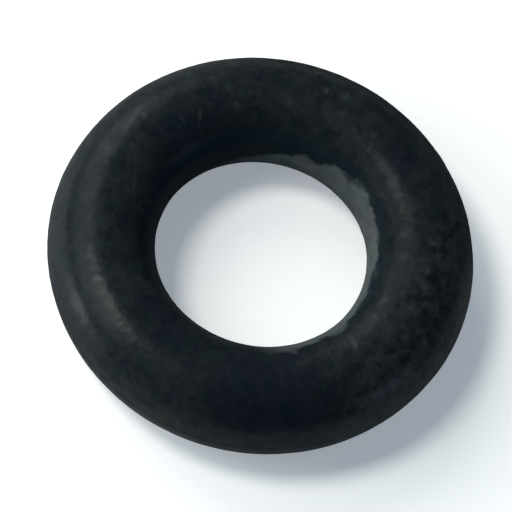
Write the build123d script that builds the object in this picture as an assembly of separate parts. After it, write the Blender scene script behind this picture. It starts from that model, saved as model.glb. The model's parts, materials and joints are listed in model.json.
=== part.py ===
from build123d import *

import os

# An O-ring: one solid ring of nitrile rubber, compression moulded between two flat mould plates.
# The ring lies flat. Its axis is Z, and the origin is the middle of the ring, on the plane where
# the two mould plates met.
#
# The plates leave a thin web of flash all round that plane, inside and outside the ring. Trimming
# cuts the web back to a narrow cylindrical land that stands a hair proud of the round section:
# one land is the ring's smallest bore, and the other is its widest rim.

# Driving dimensions, in millimetres. The bore and the section are size code 107 of ISO 3601-1.
BORE_DIAMETER = 5.23      # across the round section, before the land
SECTION_DIAMETER = 2.62   # thickness of the rubber
LAND_WIDTH = 0.16         # along the axis, from one mould plate's edge to the other's
LAND_HEIGHT = 0.02        # how far trimming leaves the land proud of the section

# From the ring's axis to the middle of the section.
SECTION_CENTRE_RADIUS = (BORE_DIAMETER + SECTION_DIAMETER) / 2


def ring_section():
    """The round section with its two parting-line lands, drawn beside the ring's axis."""
    with BuildSketch(Plane.XZ) as section:
        with Locations((SECTION_CENTRE_RADIUS, 0)):
            Circle(SECTION_DIAMETER / 2)
            Rectangle(SECTION_DIAMETER + 2 * LAND_HEIGHT, LAND_WIDTH)
    return section.sketch


def o_ring():
    """The whole ring: its section turned once about the axis."""
    return revolve(ring_section(), axis=Axis.Z, revolution_arc=360)


os.makedirs("parts", exist_ok=True)
export_step(o_ring(), "parts/o_ring.step")
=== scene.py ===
import json
import math
import random

import bpy
import numpy as np
from mathutils import Matrix, Vector, noise


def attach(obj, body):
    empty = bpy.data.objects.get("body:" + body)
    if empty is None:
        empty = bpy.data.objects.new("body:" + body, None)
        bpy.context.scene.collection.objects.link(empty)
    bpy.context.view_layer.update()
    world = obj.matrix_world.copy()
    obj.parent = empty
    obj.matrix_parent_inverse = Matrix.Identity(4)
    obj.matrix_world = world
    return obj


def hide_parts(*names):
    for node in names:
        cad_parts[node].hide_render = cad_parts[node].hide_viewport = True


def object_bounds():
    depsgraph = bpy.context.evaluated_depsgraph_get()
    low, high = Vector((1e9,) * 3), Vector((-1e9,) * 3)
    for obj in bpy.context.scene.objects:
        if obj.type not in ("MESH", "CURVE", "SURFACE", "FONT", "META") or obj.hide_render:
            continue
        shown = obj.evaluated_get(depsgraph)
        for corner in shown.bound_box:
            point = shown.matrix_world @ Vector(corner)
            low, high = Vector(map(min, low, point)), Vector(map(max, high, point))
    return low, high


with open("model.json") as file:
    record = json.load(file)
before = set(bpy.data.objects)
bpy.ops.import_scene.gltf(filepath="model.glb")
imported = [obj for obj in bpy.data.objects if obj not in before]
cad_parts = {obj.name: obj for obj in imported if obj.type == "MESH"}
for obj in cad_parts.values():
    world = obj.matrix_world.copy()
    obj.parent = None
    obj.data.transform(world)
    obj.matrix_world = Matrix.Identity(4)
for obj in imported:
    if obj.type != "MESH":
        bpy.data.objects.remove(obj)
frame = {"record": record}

# One moulded rubber ring lying flat on a pale floor. Lengths are in metres, in the frame's own axes:
# the ring's axis is Z and its middle is the origin. A place on the ring is two angles: "around" is
# about the ring's axis, from +X towards +Y, and "section" is about the middle of the rubber, from
# the rim (0 degrees) over the top (90) to the bore (180). The camera is on the -Y side, and "near",
# "far", "left" and "right" are as it sees the ring.

CAD_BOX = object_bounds()

MM = 0.001
MICRON = 0.000001


def mount_radius(name):
    """The radius of one of the frame's round mounts."""
    mount = next(m for m in frame["record"]["mounts"] if m["name"] == name)
    return mount["dims"]["r_mm"] * MM


# Sizes taken from the frame. The land is what trimming leaves of the flash at the parting line.
SECTION_RADIUS = (CAD_BOX[1].z - CAD_BOX[0].z) / 2
CENTRE_RADIUS = (mount_radius("bore") + mount_radius("rim")) / 2
LAND_HEIGHT = (mount_radius("rim") - mount_radius("bore")) / 2 - SECTION_RADIUS
FLOOR_HEIGHT = CAD_BOX[0].z

# The mesh: a loop of faces for each step around, and a row of them for each step of the section.
# Rows are closer together near the rim and the bore, where the parting line is.
STEPS_AROUND = 560
STEPS_OF_SECTION = 176
ROW_CROWDING = 0.22

# The land here: half its flat width, how far each side slopes, and the share of its full height
# that is left, which varies along it in waves of the given length, octaves and seed.
LAND_HALF_WIDTH = 0.05 * MM
LAND_SLOPE = 0.10 * MM
LAND_SHARE = 0.32
LAND_SHARE_SPREAD = 0.22
LAND_SHARE_LIMITS = (0.05, 0.95)
LAND_WAVES = (0.6 * MM, 3, 3)

# Waves in the surface: the height, length and seed of each. The whole surface is also set back a
# little, so that few of them reach the round section. None passes it.
WAVES = (
    (4.0 * MICRON, 1.6 * MM, 1),
    (2.0 * MICRON, 0.5 * MM, 2),
    (0.8 * MICRON, 0.25 * MM, 4),
)
WAVE_OCTAVES = 2
SET_BACK = 8 * MICRON

# The noise that waves are made of: how many units long its longest waves are, how fast each octave
# weakens, how much finer it is than the last, and how far apart two seeds are.
NOISE_WAVE = 2
NOISE_WEAKENING = 1.0
NOISE_STEP = 2.0
SEED_SHIFT = (13.7, 5.3, 9.1)

# Scattered marks: the narrowest, how many times longer than wide they are, their depth as a share
# of their width, how pale or, below 0, how dark the strongest are, and their turn in radians.
NARROWEST_MARK = 0.12 * MM
MARK_LENGTHS = (1.2, 2.6)
MARK_DEPTHS = (0.01, 0.04)
MARK_SHADES = (0.25, -0.4, -0.4)
MARK_TURNS = (0.3, 2.8)

# How sharply the shade of a mark ends: 1 is a soft edge, and more is harder.
SHADE_EDGE = 1.5

# Where marks are scattered: how many, between which angles in degrees, and how wide at most. The
# second lot is on the coarse right side.
SCATTERED = (
    (170, (-180, 180), (-180, 180), 0.20 * MM),
    (100, (-50, 55), (20, 95), 0.28 * MM),
)
SCATTER_SEED = 107


# ------------------------------------------------------------------------- surface

def smooth_noise(points, wavelength, octaves, seed):
    """Noise of about -1 to 1 at each point, with its longest waves about one wavelength long."""
    shift = Vector([seed * part for part in SEED_SHIFT])
    scale = NOISE_WAVE / wavelength
    found = [noise.fractal(Vector(p) * scale + shift, NOISE_WEAKENING, NOISE_STEP, octaves) for p in points]
    return np.array(found)


def wrapped(angle):
    """An angle, or an array of them, brought to between -pi and pi."""
    return (angle + math.pi) % (2 * math.pi) - math.pi


def smooth_step(value):
    """0 for values up to 0, 1 from 1 up, and a smooth rise between."""
    value = np.clip(value, 0, 1)
    return value * value * (3 - 2 * value)


def reach(around, section, place, size, turn):
    """How far each point is from a place on the ring, squared, where 1 is the edge of an oval of
    the given length and width there. turn is the oval's angle from the ring's own direction."""
    run = wrapped(around - place[0]) * (CENTRE_RADIUS + SECTION_RADIUS * math.cos(place[1]))
    rise = wrapped(section - place[1]) * SECTION_RADIUS
    along = (run * math.cos(turn) + rise * math.sin(turn)) / (size[0] / 2)
    across = (rise * math.cos(turn) - run * math.sin(turn)) / (size[1] / 2)
    return along ** 2 + across ** 2


def known_marks():
    """The marks that stand out: around and section in degrees, length and width in mm, the turn
    in degrees, depth in microns (a nib's is negative), and how pale or, below 0, how dark it is."""
    listed = [
        # far side
        (131, 110, 0.30, 0.09, 57, 8, 0.9),
        (115, 110, 0.18, 0.14, 90, 8, 0.5),
        (94, 107, 0.20, 0.14, 90, 8, 0.55),
        (141, 110, 0.14, 0.11, 90, 5, 0.4),
        (138, 103, 0.26, 0.10, 85, 4, 0.3),
        (106, 99, 0.16, 0.10, 90, 5, 0.35),
        (108, 103, 0.14, 0.11, 90, -5, -0.5),
        (148, 75, 0.14, 0.09, 90, 7, 0.8),
        (76, 76, 0.34, 0.25, 80, 12, 0.55),
        (82, 79, 0.24, 0.14, 85, 9, 0.65),
        (87, 55, 0.24, 0.08, 90, 5, 0.7),
        (59, 98, 0.18, 0.11, 80, 7, 0.5),
        (32, 112, 0.24, 0.12, 85, 8, 0.5),
        (39, 112, 0.42, 0.24, 0, 6, 0.3),
        (95, 75, 0.26, 0.13, 90, -6, -0.6),
        (92, 62, 0.22, 0.09, 90, -6, -0.6),
        (114, 91, 0.16, 0.12, 90, -5, -0.5),
        (117, 89, 0.14, 0.08, 90, 5, 0.5),
        # left side
        (171, 110, 0.86, 0.09, 22, 5, 0.5),
        (152, 134, 0.36, 0.10, -35, 5, 0.35),
        (154, 127, 0.22, 0.13, 0, -5, -0.5),
        (182, 127, 0.28, 0.14, 90, 5, 0.4),
        (176, 140, 0.26, 0.20, 90, 4, 0.25),
        (198, 108, 0.13, 0.10, 90, -7, -0.7),
        (152, 69, 0.80, 0.12, 12, 9, 1.0),
        (154, 67, 0.46, 0.20, 8, 4, 0.5),
        (166, 67, 0.50, 0.30, 0, 6, 0.3),
        (168, 74, 0.16, 0.08, 90, -7, -0.8),
        (168, 53, 0.24, 0.10, 85, -7, -0.7),
        (213, 71, 0.22, 0.15, 90, 9, 0.8),
        (203, 71, 0.46, 0.11, -15, 6, 0.4),
        (229, 70, 0.22, 0.12, 90, 6, 0.5),
        (235, 67, 0.26, 0.10, -50, 5, 0.4),
        (127, 55, 0.30, 0.08, 85, 4, 0.4),
        # near and right side
        (319, 107, 0.42, 0.16, 78, 10, 0.7),
        (334, 115, 0.30, 0.11, 60, 7, 0.45),
        (343, 118, 0.26, 0.16, -20, 7, 0.5),
        (5, 113, 0.26, 0.20, 90, 6, 0.3),
        (16, 115, 0.30, 0.22, 0, 8, 0.45),
        (344, 88, 0.18, 0.11, -75, 7, 0.6),
        (354, 86, 0.22, 0.14, 60, 6, 0.35),
        (0, 86, 0.18, 0.12, 85, 9, 0.7),
        (11, 84, 0.24, 0.13, 90, 9, 0.6),
        (6, 76, 0.36, 0.15, 10, 7, 0.45),
        (338, 55, 0.22, 0.14, 75, 6, 0.8),
        (316, 48, 0.50, 0.10, 85, 2, 0.4),
        (322, 42, 0.22, 0.12, 80, 2, 0.5),
        (3, 42, 0.28, 0.11, 85, 3, 0.45),
        (358, 75, 0.28, 0.12, 20, -7, -0.6),
        (11, 95, 0.26, 0.15, 0, -7, -0.6),
        (15, 75, 0.32, 0.08, 85, -7, -0.7),
        (356, 63, 0.48, 0.09, 80, -8, -0.7),
        (3, 58, 0.26, 0.20, 90, -7, -0.5),
        (9, 69, 0.16, 0.09, 80, -7, -0.8),
        (21, 69, 0.30, 0.15, 0, -7, -0.5),
        (45, 79, 0.45, 0.36, 80, -8, -0.4),
        (32, 82, 0.24, 0.08, 90, -6, -0.6),
        (52, 77, 0.22, 0.11, 80, -6, -0.6),
        (325, 92, 0.16, 0.13, 0, -6, -0.6),
        (337, 62, 0.22, 0.16, 60, -7, -0.5),
    ]
    marks = []
    for around, section, length, width, turn, depth, shade in listed:
        place = (math.radians(around), math.radians(section))
        marks.append((place, (length * MM, width * MM), math.radians(turn), depth * MICRON, shade))
    return marks


def scattered_marks(dice, count, around_range, section_range, widest):
    """Pits, nibs and scuffs over part of the ring, many small and few large."""
    marks = []
    for _ in range(count):
        place = (math.radians(dice.uniform(*around_range)), math.radians(dice.uniform(*section_range)))
        width = NARROWEST_MARK + (widest - NARROWEST_MARK) * dice.random() ** 2
        size = (width * dice.uniform(*MARK_LENGTHS), width)
        shade = dice.choice(MARK_SHADES) * dice.random()
        depth = width * dice.uniform(*MARK_DEPTHS) * math.copysign(1, shade)
        turn = dice.uniform(*MARK_TURNS)
        marks.append((place, size, turn, depth, shade))
    return marks


def marked(around, section):
    """What the marks do at each point of the mesh: how far they move it out, and how pale it is.
    A pit has a low rim round it, and a nib a shallow ditch."""
    dice = random.Random(SCATTER_SEED)
    marks = known_marks()
    for count, around_range, section_range, widest in SCATTERED:
        marks += scattered_marks(dice, count, around_range, section_range, widest)
    moved = np.zeros(len(around))
    pale = np.zeros(len(around))
    for place, size, turn, depth, shade in marks:
        far = reach(around, section, place, size, turn)
        moved -= depth * (1 - far) * np.exp(-far)
        pale += shade * np.exp(-far ** SHADE_EDGE)
    return moved, np.clip(pale, -1, 1)


def surface_offset(points, moved):
    """How far each point of the mesh stands out from the true round section: never outside it."""
    offset = np.zeros(len(points))
    for height, length, seed in WAVES:
        offset += height * smooth_noise(points, length, WAVE_OCTAVES, seed)
    return np.minimum(offset + moved - SET_BACK, 0)


def ring_points(around, section):
    """The points of the mesh at the given angles, and how pale each is."""
    out = np.cos(section)
    up = np.sin(section)

    def placed(depth):
        """The points that are this far from the middle of the rubber."""
        radius = CENTRE_RADIUS + out * depth
        return np.stack([radius * np.cos(around), radius * np.sin(around), up * depth], axis=1)

    base = placed(SECTION_RADIUS)
    beyond = (np.abs(base[:, 2]) - LAND_HALF_WIDTH) / LAND_SLOPE
    land = smooth_step(1 - beyond)
    share = LAND_SHARE + LAND_SHARE_SPREAD * smooth_noise(base, *LAND_WAVES)
    moved, pale = marked(around, section)
    offset = surface_offset(base, moved) * (1 - land)
    offset += LAND_HEIGHT * land * np.clip(share, *LAND_SHARE_LIMITS)
    return placed(SECTION_RADIUS + offset), pale


def ring_mesh():
    """The ring's surface as one closed grid of quads, with a UV map of the two angles and an
    attribute, "scuffed", that says how pale or dark its marks are."""
    step = np.arange(STEPS_OF_SECTION) * (2 * math.pi / STEPS_OF_SECTION)
    rows = step - ROW_CROWDING * np.sin(2 * step)
    turns = np.arange(STEPS_AROUND) * (2 * math.pi / STEPS_AROUND)
    points, pale = ring_points(np.repeat(turns, STEPS_OF_SECTION), np.tile(rows, STEPS_AROUND))

    loop = np.arange(STEPS_AROUND)[:, None]
    row = np.arange(STEPS_OF_SECTION)[None, :]
    next_loop = (loop + 1) % STEPS_AROUND
    next_row = (row + 1) % STEPS_OF_SECTION
    corners = [(loop, row), (next_loop, row), (next_loop, next_row), (loop, next_row)]
    faces = np.stack([its_loop * STEPS_OF_SECTION + its_row for its_loop, its_row in corners], axis=-1)

    mesh = bpy.data.meshes.new("moulded_ring")
    mesh.from_pydata(points.tolist(), [], faces.reshape(-1, 4).tolist())
    mesh.shade_smooth()

    across = np.append(rows, 2 * math.pi) / (2 * math.pi)
    uv = []
    for right, above in ((0, 0), (1, 0), (1, 1), (0, 1)):
        u = np.broadcast_to((loop + right) / STEPS_AROUND, (STEPS_AROUND, STEPS_OF_SECTION))
        v = np.broadcast_to(across[row + above], (STEPS_AROUND, STEPS_OF_SECTION))
        uv.append(np.stack([u, v], axis=-1))
    layer = mesh.uv_layers.new(name="around_and_section")
    layer.data.foreach_set("uv", np.stack(uv, axis=2).astype(np.float32).ravel())
    scuffed = mesh.attributes.new("scuffed", "FLOAT", "POINT")
    scuffed.data.foreach_set("value", pale.astype(np.float32))
    return mesh


# ------------------------------------------------------------------------ materials

# A mix node has sockets for each kind of data. These are the ones that mix two colours.
MIX_SHARE = 0
MIX_COLOURS = (6, 7)
MIX_RESULT = 2


class Nodes:
    """Short ways to add nodes to one material."""

    def __init__(self, tree):
        self.tree = tree

    def put(self, value, socket):
        """Links a node's output to a socket, or sets the socket's own value."""
        if isinstance(value, bpy.types.NodeSocket):
            self.tree.links.new(value, socket)
        else:
            socket.default_value = value

    def maths(self, operation, first, second=0.0):
        made = self.tree.nodes.new("ShaderNodeMath")
        made.operation = operation
        self.put(first, made.inputs[0])
        self.put(second, made.inputs[1])
        return made.outputs[0]

    def plus(self, first, second):
        return self.maths("ADD", first, second)

    def minus(self, first, second):
        return self.maths("SUBTRACT", first, second)

    def times(self, first, second):
        return self.maths("MULTIPLY", first, second)

    def larger(self, first, second):
        return self.maths("MAXIMUM", first, second)

    def smaller(self, first, second):
        return self.maths("MINIMUM", first, second)

    def scaled_plus(self, vector, scale, added):
        """A vector times a number, plus another vector."""
        made = self.tree.nodes.new("ShaderNodeVectorMath")
        made.operation = "MULTIPLY_ADD"
        self.put(vector, made.inputs[0])
        made.inputs[1].default_value = (scale, scale, scale)
        self.put(added, made.inputs[2])
        return made.outputs[0]

    def distance(self, vector, place):
        made = self.tree.nodes.new("ShaderNodeVectorMath")
        made.operation = "DISTANCE"
        self.put(vector, made.inputs[0])
        made.inputs[1].default_value = place
        return made.outputs["Value"]

    def noise_node(self, vector, size, detail, roughness=0.5):
        """Noise with features of about the given size in metres."""
        made = self.tree.nodes.new("ShaderNodeTexNoise")
        self.put(vector, made.inputs["Vector"])
        self.put(1 / size, made.inputs["Scale"])
        self.put(detail, made.inputs["Detail"])
        self.put(roughness, made.inputs["Roughness"])
        return made

    def noise(self, vector, size, detail, roughness=0.5):
        return self.noise_node(vector, size, detail, roughness).outputs["Fac"]

    def warped(self, vector, size, most):
        """The vector moved by noise of the given size, by up to the given length along each axis."""
        return self.scaled_plus(self.noise_node(vector, size, 1).outputs["Color"], most, vector)

    def plates(self, vector, size):
        """A value that is nearly even over each of many irregular plates of about the given size."""
        made = self.tree.nodes.new("ShaderNodeTexVoronoi")
        made.feature = "SMOOTH_F1"
        self.put(vector, made.inputs["Vector"])
        self.put(1 / size, made.inputs["Scale"])
        made.inputs["Smoothness"].default_value = 0.12
        return made.outputs["Color"]

    def ramp(self, value, low, high, start=0.0, end=1.0):
        """A value brought smoothly from start, where it is low, to end, where it is high. It stays
        at start or end beyond them, and low may be the larger of the two."""
        made = self.tree.nodes.new("ShaderNodeMapRange")
        made.interpolation_type = "SMOOTHSTEP"
        self.put(value, made.inputs["Value"])
        self.put(low, made.inputs["From Min"])
        self.put(high, made.inputs["From Max"])
        self.put(start, made.inputs["To Min"])
        self.put(end, made.inputs["To Max"])
        return made.outputs["Result"]

    def between(self, share, start, end):
        """A share of 0 to 1 brought to between start and end."""
        return self.ramp(share, 0.0, 1.0, start, end)

    def blend(self, share, first, second):
        """Two colours mixed: all the first where the share is 0, and all the second where it is 1."""
        made = self.tree.nodes.new("ShaderNodeMix")
        made.data_type = "RGBA"
        self.put(share, made.inputs[MIX_SHARE])
        self.put(first, made.inputs[MIX_COLOURS[0]])
        self.put(second, made.inputs[MIX_COLOURS[1]])
        return made.outputs[MIX_RESULT]

    def bump(self, height, distance, normal=None):
        made = self.tree.nodes.new("ShaderNodeBump")
        self.put(height, made.inputs["Height"])
        made.inputs["Distance"].default_value = distance
        made.inputs["Strength"].default_value = 1.0
        if normal:
            self.put(normal, made.inputs["Normal"])
        return made.outputs["Normal"]


# The rubber's colours, linear, each with its alpha. A pair is of two tints of one colour, the first
# redder and the second greener.
NAVY = ((0.0062, 0.0074, 0.0132, 1), (0.0045, 0.0092, 0.0118, 1))
GREENISH = ((0.0086, 0.0092, 0.0126, 1), (0.0070, 0.0110, 0.0114, 1))
LIGHTER = (0.0220, 0.0264, 0.0272, 1)
PLATE = (0.028, 0.032, 0.034, 1)
PIT = (0.0038, 0.0056, 0.0080, 1)
FLECK = (0.032, 0.038, 0.039, 1)
# Painted shade.
PAINTED_SHADE = (0.0036, 0.0066, 0.0128, 1)
BORE_WALL = (0.0088, 0.0192, 0.0270, 1)
PALE_MARK = (0.056, 0.066, 0.062, 1)
DARK_MARK = (0.0030, 0.0045, 0.0065, 1)
# The next two are painted light on the right wall of the bore.
PAINTED_BORE_LIGHT = ((0.112, 0.110, 0.117, 1), (0.090, 0.113, 0.106, 1))
THIN_PAINTED_BORE_LIGHT = (0.050, 0.057, 0.056, 1)
# Painted reflection of the floor on the near foot.
PAINTED_FOOT_REFLECTION = (0.034, 0.037, 0.032, 1)
# Painted highlight and painted reflection of the floor on the left side.
PAINTED_BAND_LIGHT = (0.040, 0.045, 0.045, 1)

# The rubber's noises: the size, detail and roughness of each, and the two levels that are brought
# to 0 and 1.
PATCHES = (1.0 * MM, 3, 0.6, 0.40, 0.60)
TINTS = (0.42 * MM, 2, 0.5, 0.38, 0.62)
BLOTCHES = (0.34 * MM, 3, 0.55, 0.36, 0.64)
STREAKS = (0.20 * MM, 2, 0.5, 0.3, 0.7)
GRAIN = (0.13 * MM, 2, 0.6, 0.44, 0.68)
RAGGED = (0.50 * MM, 3, 0.5, 0.25, 0.75)

# How far a ragged edge strays to each side, and how much a streak's noise changes along the ring.
RAGGED_REACH = 0.13 * MM
STREAK_CHANGE = 0.3

# How much blotches, streaks and grain lighten the rubber.
BLOTCH_SHARE = 0.34
STREAK_SHARE = 0.12
GRAIN_SHARE = 0.26

# The coarse part: where it starts and where it is at its strongest, towards the right and upwards.
COARSE_RIGHT = (3.1 * MM, 4.2 * MM)
COARSE_UP = (-0.4 * MM, 0.3 * MM)

# Plates and flecks: the size of each, and the size and reach of the noise that pushes them about.
PLATE_SIZE = 0.24 * MM
FLECK_SIZE = 0.26 * MM
WARP_SIZE = 0.30 * MM
WARP_REACH = 0.12 * MM

# The levels of the flecks' noise that make pits, and those that make pale flecks.
PIT_LEVELS = (0.51, 0.60)
FLECK_LEVELS = (0.44, 0.32)

# How strong plates, pits and pale flecks are, away from the coarse part and on it.
PLATE_SHARES = (0.16, 0.66)
PIT_SHARES = (0.06, 0.60)
FLECK_SHARES = (0.04, 0.30)

# Painted shade, in places painted darker and bluer: the middle of each, how far it reaches, its share.
PAINTED_SHADE_PLACES = (
    ((-2.0 * MM, 1.9 * MM, 0.8 * MM), 2.0 * MM, 0.50),
    ((-2.6 * MM, -0.6 * MM, 0.2 * MM), 1.5 * MM, 0.55),
    ((0.9 * MM, -4.3 * MM, 1.2 * MM), 2.3 * MM, 0.55),
    ((2.5 * MM, 2.5 * MM, 1.2 * MM), 1.1 * MM, 0.45),
    ((-1.9 * MM, -3.2 * MM, 1.3 * MM), 1.3 * MM, 0.40),
    ((2.4 * MM, 4.2 * MM, 1.0 * MM), 0.9 * MM, 0.40),
)

# How much of a dark place's reach, from its middle, has its full share.
PAINTED_SHADE_CORE = 0.3

# The bluer wall of the bore: how far in from the crown it starts and is at its full share.
WALL = (0.8 * MM, 1.15 * MM)
WALL_SHARE = 0.6

# How much of a pale mark shows, off the blotches and on them, and how much of a dark one.
PALE_MARK_SHARES = (0.35, 0.65)
DARK_MARK_SHARE = 0.6

# The painted light on the bore's wall, a pale band where the wall catches light. Its upper edge has a
# height at the middle of the ring, a rise towards the near side, and a least height. At its left end it has
# another height, which rises towards the right and, a few times as fast as the first, towards the near
# side.
PAINTED_BORE_LIGHT_HEIGHT = 0.64 * MM
PAINTED_BORE_LIGHT_RISE = 0.12
PAINTED_BORE_LIGHT_LEAST_HEIGHT = 0.66 * MM
PAINTED_BORE_LIGHT_END_HEIGHT = 0.27 * MM
PAINTED_BORE_LIGHT_END_RISE = 0.21
PAINTED_BORE_LIGHT_END_LIFT = 3.0

# Where the painted light on the bore fades in: across its edge, upwards, towards the lit side, and inwards
# from the crown. Its share on the near side and the far side, and where it changes.
PAINTED_BORE_LIGHT_EDGE = (-0.09 * MM, 0.09 * MM)
PAINTED_BORE_LIGHT_UP = (-1.0 * MM, -0.1 * MM)
PAINTED_BORE_LIGHT_LIT = (-0.9 * MM, 0.6 * MM)
PAINTED_BORE_LIGHT_INWARDS = (0.1 * MM, 0.4 * MM)
PAINTED_BORE_LIGHT_DEPTH = (-2.5 * MM, 1.5 * MM)
PAINTED_BORE_LIGHT_SHARES = (0.62, 0.95)
PAINTED_BORE_LIGHT_BLOTCHES = 0.35

# The painted reflection of the floor at the foot of the near side: the height of its upper edge, the edge's
# rise towards the right, and where it fades in: across its edge, outwards from the crown and towards the
# near side.
FOOT_HEIGHT = 0.60 * MM
FOOT_RISE = 0.05
FOOT_EDGE = (-0.05 * MM, 0.20 * MM)
FOOT_OUTWARDS = (0.0, -0.3 * MM)
FOOT_NEAR = (1.8 * MM, 4.0 * MM)
FOOT_BLOTCHES = (0.55, 1.0)
FOOT_SHARE = 0.42

# The two bands painted paler, a painted highlight and a painted reflection of the floor: how far out from
# the crown each starts, where the first ends, where each fades in towards the left, where the second does
# upwards, and their shares.
BAND_RAGGEDNESS = 0.5
FIRST_STARTS = (0.29 * MM, 0.35 * MM)
FIRST_ENDS = (0.80 * MM, 0.62 * MM)
FIRST_LEFT = (2.5 * MM, 3.7 * MM)
FIRST_SHARE = 0.12
SECOND_STARTS = (0.90 * MM, 0.94 * MM)
SECOND_UP = (0.2 * MM, 0.7 * MM)
SECOND_LEFT = (3.8 * MM, 4.8 * MM)
SECOND_SHARE = 0.19

# The weight of the rubber's thin glossy coat, and its weight where it is dull.
SHEEN = 0.124
DULL_SHEEN = 0.035

# Where it is dull: towards the far right and outwards from the crown, in the bore, and down the
# slope to the bore on its lit side. How dull the last two are.
DULL_FAR_RIGHT = (2.0 * MM, 4.2 * MM)
DULL_OUTWARDS = (-0.55 * MM, -1.0 * MM)
DULL_BORE = (0.5 * MM, 1.1 * MM)
DULL_BORE_SHARE = 0.75
DULL_LIT = (1.6 * MM, 3.2 * MM)
DULL_SLOPE = (0.1 * MM, 0.4 * MM)
DULL_SLOPE_SHARE = 0.40

# The relief: the size and detail of its grain and of its dents, and the height of each layer.
GRAIN_RELIEF = (0.15 * MM, 1)
DENT_RELIEF = (0.34 * MM, 2)
GRAIN_HEIGHT = 5 * MICRON
DENT_HEIGHT = 10 * MICRON
STREAK_HEIGHT = 2 * MICRON
PLATE_HEIGHT = 4 * MICRON

# Level directions, as parts along x and y.
TO_THE_RIGHT = (0.97, -0.24)
TO_THE_LEFT = (-0.98, -0.17)
TO_THE_NEAR_LEFT = (-0.94, -0.34)
TO_THE_NEAR_SIDE = (0.17, -0.98)
TO_THE_FAR_RIGHT = (0.50, 0.87)

# How much of y there is to each part of x towards the side of the bore that the lamps reach.
LIT_SIDE_Y = 0.4


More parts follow.
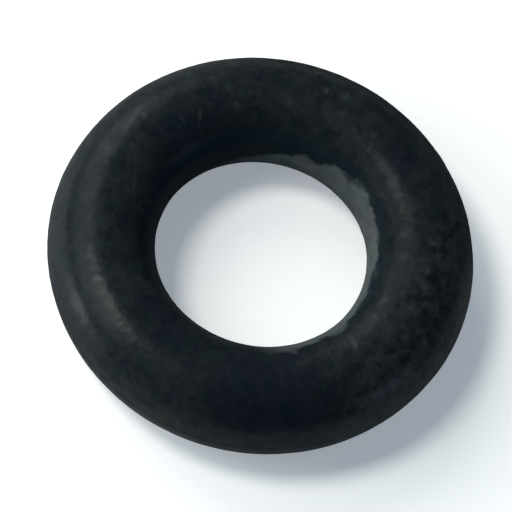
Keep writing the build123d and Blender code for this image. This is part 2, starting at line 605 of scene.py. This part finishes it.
class Rubber(Nodes):
    """The steps that make the rubber's look. Each colour step takes the colour so far."""

    def __init__(self, tree):
        super().__init__(tree)
        self.where = tree.nodes.new("ShaderNodeTexCoord").outputs["Object"]
        split = tree.nodes.new("ShaderNodeSeparateXYZ")
        self.put(self.where, split.inputs[0])
        self.x, self.y, self.z = split.outputs
        squares = self.plus(self.times(self.x, self.x), self.times(self.y, self.y))
        self.radius = self.maths("SQRT", squares)
        # How far a point is from the crown, towards the bore.
        self.inner = self.minus(CENTRE_RADIUS, self.radius)
        self.lit_side = self.plus(self.x, self.times(self.y, LIT_SIDE_Y))

        self.tints = self.levels(self.where, *TINTS)
        self.blotches = self.levels(self.where, *BLOTCHES)
        self.streaks = self.levels(self.lengthwise(), *STREAKS)
        self.ragged = self.levels(self.where, *RAGGED, -RAGGED_REACH, RAGGED_REACH)
        warp = self.warped(self.where, WARP_SIZE, WARP_REACH)
        self.plate = self.plates(warp, PLATE_SIZE)
        self.flecks = self.noise(warp, FLECK_SIZE, 3, 0.6)
        right = self.ramp(self.towards(TO_THE_RIGHT), *COARSE_RIGHT)
        self.coarse = self.times(right, self.ramp(self.z, *COARSE_UP))

    def levels(self, vector, size, detail, roughness, low, high, start=0.0, end=1.0):
        """Noise with its low and high levels brought to start and end."""
        return self.ramp(self.noise(vector, size, detail, roughness), low, high, start, end)

    def towards(self, direction):
        """How far a point is from the middle of the ring in a level direction."""
        return self.plus(self.times(self.x, direction[0]), self.times(self.y, direction[1]))

    def lengthwise(self):
        """A place for noise that changes slowly along the ring, so that the noise is drawn out."""
        rings = self.tree.nodes.new("ShaderNodeCombineXYZ")
        self.put(self.radius, rings.inputs[0])
        self.put(self.z, rings.inputs[1])
        return self.scaled_plus(self.where, STREAK_CHANGE, rings.outputs[0])

    def mottled(self):
        """Near-black, navy in some patches and greener in others, with lighter blotches, streaks
        and grain."""
        patches = self.levels(self.where, *PATCHES)
        colour = self.blend(patches, self.blend(self.tints, *NAVY), self.blend(self.tints, *GREENISH))
        lighter = self.plus(self.times(self.blotches, BLOTCH_SHARE), self.times(self.streaks, STREAK_SHARE))
        lighter = self.plus(lighter, self.times(self.levels(self.where, *GRAIN), GRAIN_SHARE))
        return self.blend(lighter, colour, LIGHTER)

    def coarsened(self, colour):
        """Paler plates, pits and pale flecks, faint all over and strong on the coarse part."""
        plated = self.times(self.plate, self.between(self.coarse, *PLATE_SHARES))
        colour = self.blend(plated, colour, PLATE)
        pitted = self.times(self.ramp(self.flecks, *PIT_LEVELS), self.between(self.coarse, *PIT_SHARES))
        colour = self.blend(pitted, colour, PIT)
        flecked = self.ramp(self.flecks, *FLECK_LEVELS)
        flecked = self.times(flecked, self.between(self.coarse, *FLECK_SHARES))
        return self.blend(flecked, colour, FLECK)

    def with_painted_shade_and_bore_tint(self, colour):
        """Painted shade in places that are darker and bluer, and a bluer wall to the bore."""
        for middle, far, share in PAINTED_SHADE_PLACES:
            near = self.ramp(self.distance(self.where, middle), far, PAINTED_SHADE_CORE * far)
            colour = self.blend(self.times(near, share), colour, PAINTED_SHADE)
        return self.blend(self.ramp(self.inner, *WALL, 0.0, WALL_SHARE), colour, BORE_WALL)

    def scuffed(self, colour):
        """The pale and dark marks of the mesh's "scuffed" attribute."""
        attribute = self.tree.nodes.new("ShaderNodeAttribute")
        attribute.attribute_name = "scuffed"
        shade = attribute.outputs["Fac"]
        pale = self.times(self.larger(shade, 0.0), self.between(self.blotches, *PALE_MARK_SHARES))
        colour = self.blend(pale, colour, PALE_MARK)
        dark = self.times(self.smaller(shade, 0.0), -DARK_MARK_SHARE)
        return self.blend(dark, colour, DARK_MARK)

    def with_painted_bore_light(self, colour):
        """Painted light: a pale band on the right wall of the bore, where it catches light. Its ragged
        upper edge is higher on the near side and lower at the left end. It fades downwards and towards
        the left, and is fainter on the near side."""
        nearer = self.times(self.y, -PAINTED_BORE_LIGHT_RISE)
        upper = self.larger(self.plus(nearer, PAINTED_BORE_LIGHT_HEIGHT), PAINTED_BORE_LIGHT_LEAST_HEIGHT)
        end = self.plus(self.times(self.x, PAINTED_BORE_LIGHT_END_RISE), PAINTED_BORE_LIGHT_END_HEIGHT)
        end = self.plus(end, self.times(self.larger(nearer, 0.0), PAINTED_BORE_LIGHT_END_LIFT))
        edge = self.plus(self.smaller(upper, end), self.ragged)
        painted_share = self.ramp(self.minus(edge, self.z), *PAINTED_BORE_LIGHT_EDGE)
        painted_share = self.times(painted_share, self.ramp(self.z, *PAINTED_BORE_LIGHT_UP))
        painted_share = self.times(painted_share, self.ramp(self.lit_side, *PAINTED_BORE_LIGHT_LIT))
        painted_share = self.times(painted_share, self.ramp(self.y, *PAINTED_BORE_LIGHT_DEPTH, *PAINTED_BORE_LIGHT_SHARES))
        painted_share = self.times(painted_share, self.ramp(self.inner, *PAINTED_BORE_LIGHT_INWARDS))
        thin = self.times(self.blotches, PAINTED_BORE_LIGHT_BLOTCHES)
        return self.blend(painted_share, colour, self.blend(thin, self.blend(self.tints, *PAINTED_BORE_LIGHT), THIN_PAINTED_BORE_LIGHT))

    def with_painted_foot_reflection(self, colour):
        """Painted reflection of the floor: a fainter pale band on the outer side of the near part, below a
        ragged edge.
        """
        edge = self.plus(self.plus(self.times(self.x, FOOT_RISE), FOOT_HEIGHT), self.ragged)
        painted_share = self.ramp(self.minus(edge, self.z), *FOOT_EDGE)
        painted_share = self.times(painted_share, self.between(self.blotches, *FOOT_BLOTCHES))
        painted_share = self.times(painted_share, self.ramp(self.inner, *FOOT_OUTWARDS))
        painted_share = self.times(painted_share, self.ramp(self.towards(TO_THE_NEAR_SIDE), *FOOT_NEAR))
        return self.blend(self.times(painted_share, FOOT_SHARE), colour, PAINTED_FOOT_REFLECTION)

    def with_painted_bands(self, colour):
        """Two bands along the left side, painted paler: a painted highlight just outside the crown, and a
        painted reflection of the floor farther out, on the near left."""
        outer = self.minus(self.radius, CENTRE_RADIUS)
        outer = self.plus(self.times(self.ragged, BAND_RAGGEDNESS), outer)
        first = self.times(self.ramp(outer, *FIRST_STARTS), self.ramp(outer, *FIRST_ENDS))
        left = self.ramp(self.towards(TO_THE_LEFT), *FIRST_LEFT, 0.0, FIRST_SHARE)
        second = self.times(self.ramp(outer, *SECOND_STARTS), self.ramp(self.z, *SECOND_UP))
        near_left = self.ramp(self.towards(TO_THE_NEAR_LEFT), *SECOND_LEFT, 0.0, SECOND_SHARE)
        painted_bands = self.plus(self.times(first, left), self.times(second, near_left))
        return self.blend(painted_bands, colour, PAINTED_BAND_LIGHT)

    def sheen(self):
        """The coat's weight: less on the far right outside the crown, in the bore, and on the slope
        down to the bore on its lit side."""
        far_right = self.ramp(self.towards(TO_THE_FAR_RIGHT), *DULL_FAR_RIGHT)
        dull = self.times(far_right, self.ramp(self.inner, *DULL_OUTWARDS))
        dull = self.larger(dull, self.ramp(self.inner, *DULL_BORE, 0.0, DULL_BORE_SHARE))
        lit_slope = self.times(self.ramp(self.lit_side, *DULL_LIT), self.ramp(self.inner, *DULL_SLOPE))
        dull = self.larger(dull, self.times(lit_slope, DULL_SLOPE_SHARE))
        return self.between(dull, SHEEN, DULL_SHEEN)

    def relief(self):
        """The normal, with fine grain, shallow dents, streaks and the plates of the coarse part."""
        normal = self.bump(self.noise(self.where, *GRAIN_RELIEF), GRAIN_HEIGHT)
        normal = self.bump(self.noise(self.where, *DENT_RELIEF), DENT_HEIGHT, normal)
        normal = self.bump(self.streaks, STREAK_HEIGHT, normal)
        return self.bump(self.times(self.plate, self.coarse), PLATE_HEIGHT, normal)


def rubber():
    """Near-black nitrile rubber: satin, mottled and a little scuffed, and coarser on its right side. It has
    a painted highlight and painted reflections on its left side and near foot, painted light on part of the
    bore, and painted shade in places. Its sheen is a thin coat."""
    material = bpy.data.materials.new("nitrile_rubber")
    material.use_nodes = True
    shader = material.node_tree.nodes["Principled BSDF"]
    steps = Rubber(material.node_tree)

    colour = steps.mottled()
    colour = steps.coarsened(colour)
    # Painted shade in darker, bluer places, and a bluer wall to the bore.
    colour = steps.with_painted_shade_and_bore_tint(colour)
    colour = steps.scuffed(colour)
    # Painted light on the right wall of the bore.
    colour = steps.with_painted_bore_light(colour)
    # Painted reflection of the floor on the near foot.
    colour = steps.with_painted_foot_reflection(colour)
    # Painted highlight and painted reflection of the floor, in bands on the left side.
    colour = steps.with_painted_bands(colour)
    steps.put(colour, shader.inputs["Base Color"])
    shader.inputs["Roughness"].default_value = 0.5
    shader.inputs["Specular IOR Level"].default_value = 0.0
    steps.put(steps.sheen(), shader.inputs["Coat Weight"])
    shader.inputs["Coat Roughness"].default_value = 0.30
    normal = steps.relief()
    steps.put(normal, shader.inputs["Normal"])
    steps.put(normal, shader.inputs["Coat Normal"])
    return material


# The floor's paint: what it lends to the ring, and what is seen of it.
FLOOR_PAINT = (0.70, 0.80, 0.94, 1)
SEEN_PAINT = (1.0, 0.95, 0.91, 1)
SEEN_GLOW = (0.92, 1.0, 1.08, 1)
SEEN_GLOW_STRENGTH = 0.30


def floor_paint():
    """Pale paint. The camera and reflections see it as white, with the ring's soft shadow on it."""
    material = bpy.data.materials.new("pale_floor")
    material.use_nodes = True
    tree = material.node_tree
    tree.nodes.remove(tree.nodes["Principled BSDF"])
    nodes = Nodes(tree)
    paint = tree.nodes.new("ShaderNodeBsdfDiffuse")
    paint.inputs["Color"].default_value = FLOOR_PAINT
    shade = tree.nodes.new("ShaderNodeBsdfDiffuse")
    shade.inputs["Color"].default_value = SEEN_PAINT
    glow = tree.nodes.new("ShaderNodeEmission")
    glow.inputs["Color"].default_value = SEEN_GLOW
    glow.inputs["Strength"].default_value = SEEN_GLOW_STRENGTH
    seen = tree.nodes.new("ShaderNodeAddShader")
    nodes.put(shade.outputs[0], seen.inputs[0])
    nodes.put(glow.outputs[0], seen.inputs[1])
    path = tree.nodes.new("ShaderNodeLightPath")
    looked_at = nodes.larger(path.outputs["Is Camera Ray"], path.outputs["Is Glossy Ray"])
    looked_at = nodes.larger(looked_at, path.outputs["Is Transmission Ray"])
    choice = tree.nodes.new("ShaderNodeMixShader")
    nodes.put(looked_at, choice.inputs["Fac"])
    nodes.put(paint.outputs[0], choice.inputs[1])
    nodes.put(seen.outputs[0], choice.inputs[2])
    nodes.put(choice.outputs[0], tree.nodes["Material Output"].inputs["Surface"])
    return material


# --------------------------------------------------------------------------- stage

# Half the floor's side, far past what the camera sees.
FLOOR_REACH = 1.2

NEUTRAL = (0.95, 1.0, 0.95)
CLEAR = (0.92, 1.0, 1.02)
COOL = (0.70, 0.95, 1.18)

# The lamps: name, azimuth and elevation in degrees, distance, width, radiance and colour.
LAMPS = (
    ("key", 192, 41, 42 * MM, 24 * MM, 3.9, CLEAR),
    ("window", 135, 30, 300 * MM, 245 * MM, 3.7, NEUTRAL),
    ("low_edge", 201, 8, 22 * MM, 5.5 * MM, 16, NEUTRAL),
    ("rim", -18, 11, 350 * MM, 120 * MM, 3.6, COOL),
    ("top", 176, 61, 280 * MM, 84 * MM, 18, NEUTRAL),
)

# The camera: how far it leans from straight down, its roll, and its distance.
CAMERA_LEAN = math.radians(25.87)
CAMERA_ROLL = math.radians(14.24)
CAMERA_DISTANCE = 28 * CENTRE_RADIUS

# How many times nearer than the ring the camera starts to see, and how many times farther it stops.
CAMERA_RANGE = 100


def stand(name, data):
    """A new object in the scene."""
    placed = bpy.data.objects.new(name, data)
    bpy.context.scene.collection.objects.link(placed)
    return placed


def softbox(name, azimuth, elevation, distance, width, radiance, colour):
    """A round softbox facing the foot of the ring's axis. azimuth is from +X towards +Y. Its power
    is its radiance times pi times its area."""
    lamp = bpy.data.lights.new(name, "AREA")
    lamp.shape = "DISK"
    lamp.size = width
    lamp.energy = radiance * math.pi * math.pi * (width / 2) ** 2
    lamp.color = colour
    bearing = math.radians(azimuth)
    rise = math.radians(elevation)
    level = math.cos(rise)
    towards = Vector((math.cos(bearing) * level, math.sin(bearing) * level, math.sin(rise)))
    placed = stand(name, lamp)
    placed.rotation_mode = "QUATERNION"
    placed.rotation_quaternion = towards.to_track_quat("Z", "Y")
    placed.location = towards * distance + Vector((0, 0, FLOOR_HEIGHT))
    placed.visible_camera = False


def surroundings():
    """A dim even room."""
    world = bpy.data.worlds.new("studio")
    bpy.context.scene.world = world
    world.use_nodes = True
    light = world.node_tree.nodes["Background"]
    light.inputs["Color"].default_value = (0.55, 0.90, 1.40, 1)
    light.inputs["Strength"].default_value = 0.07


def floor():
    """A level square that the ring lies on."""
    mesh = bpy.data.meshes.new("floor")
    corners = [(-1, -1), (1, -1), (1, 1), (-1, 1)]
    points = [(x * FLOOR_REACH, y * FLOOR_REACH, FLOOR_HEIGHT) for x, y in corners]
    mesh.from_pydata(points, [], [(0, 1, 2, 3)])
    mesh.materials.append(floor_paint())
    placed = stand("floor", mesh)


def camera():
    """Looks down on the ring from the near side, a little rolled, through a long lens."""
    data = bpy.data.cameras.new("camera")
    data.sensor_width = 36
    data.lens = 315.7
    data.shift_x = -0.0099
    data.shift_y = -0.0058
    data.clip_start = CAMERA_DISTANCE / CAMERA_RANGE
    data.clip_end = CAMERA_DISTANCE * CAMERA_RANGE
    placed = stand("camera", data)
    back = Vector((0, -math.sin(CAMERA_LEAN), math.cos(CAMERA_LEAN)))
    turn = back.to_track_quat("Z", "Y").to_matrix() @ Matrix.Rotation(CAMERA_ROLL, 3, "Z")
    placed.matrix_world = Matrix.Translation(back * CAMERA_DISTANCE) @ turn.to_4x4()
    bpy.context.scene.camera = placed


# ---------------------------------------------------------------------------- build

ring = stand("moulded_ring", ring_mesh())
ring.data.materials.append(rubber())
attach(ring, "root")
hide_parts("o_ring")

floor()
surroundings()
for lamp_settings in LAMPS:
    softbox(*lamp_settings)
camera()

bpy.context.scene.view_settings.view_transform = "Standard"
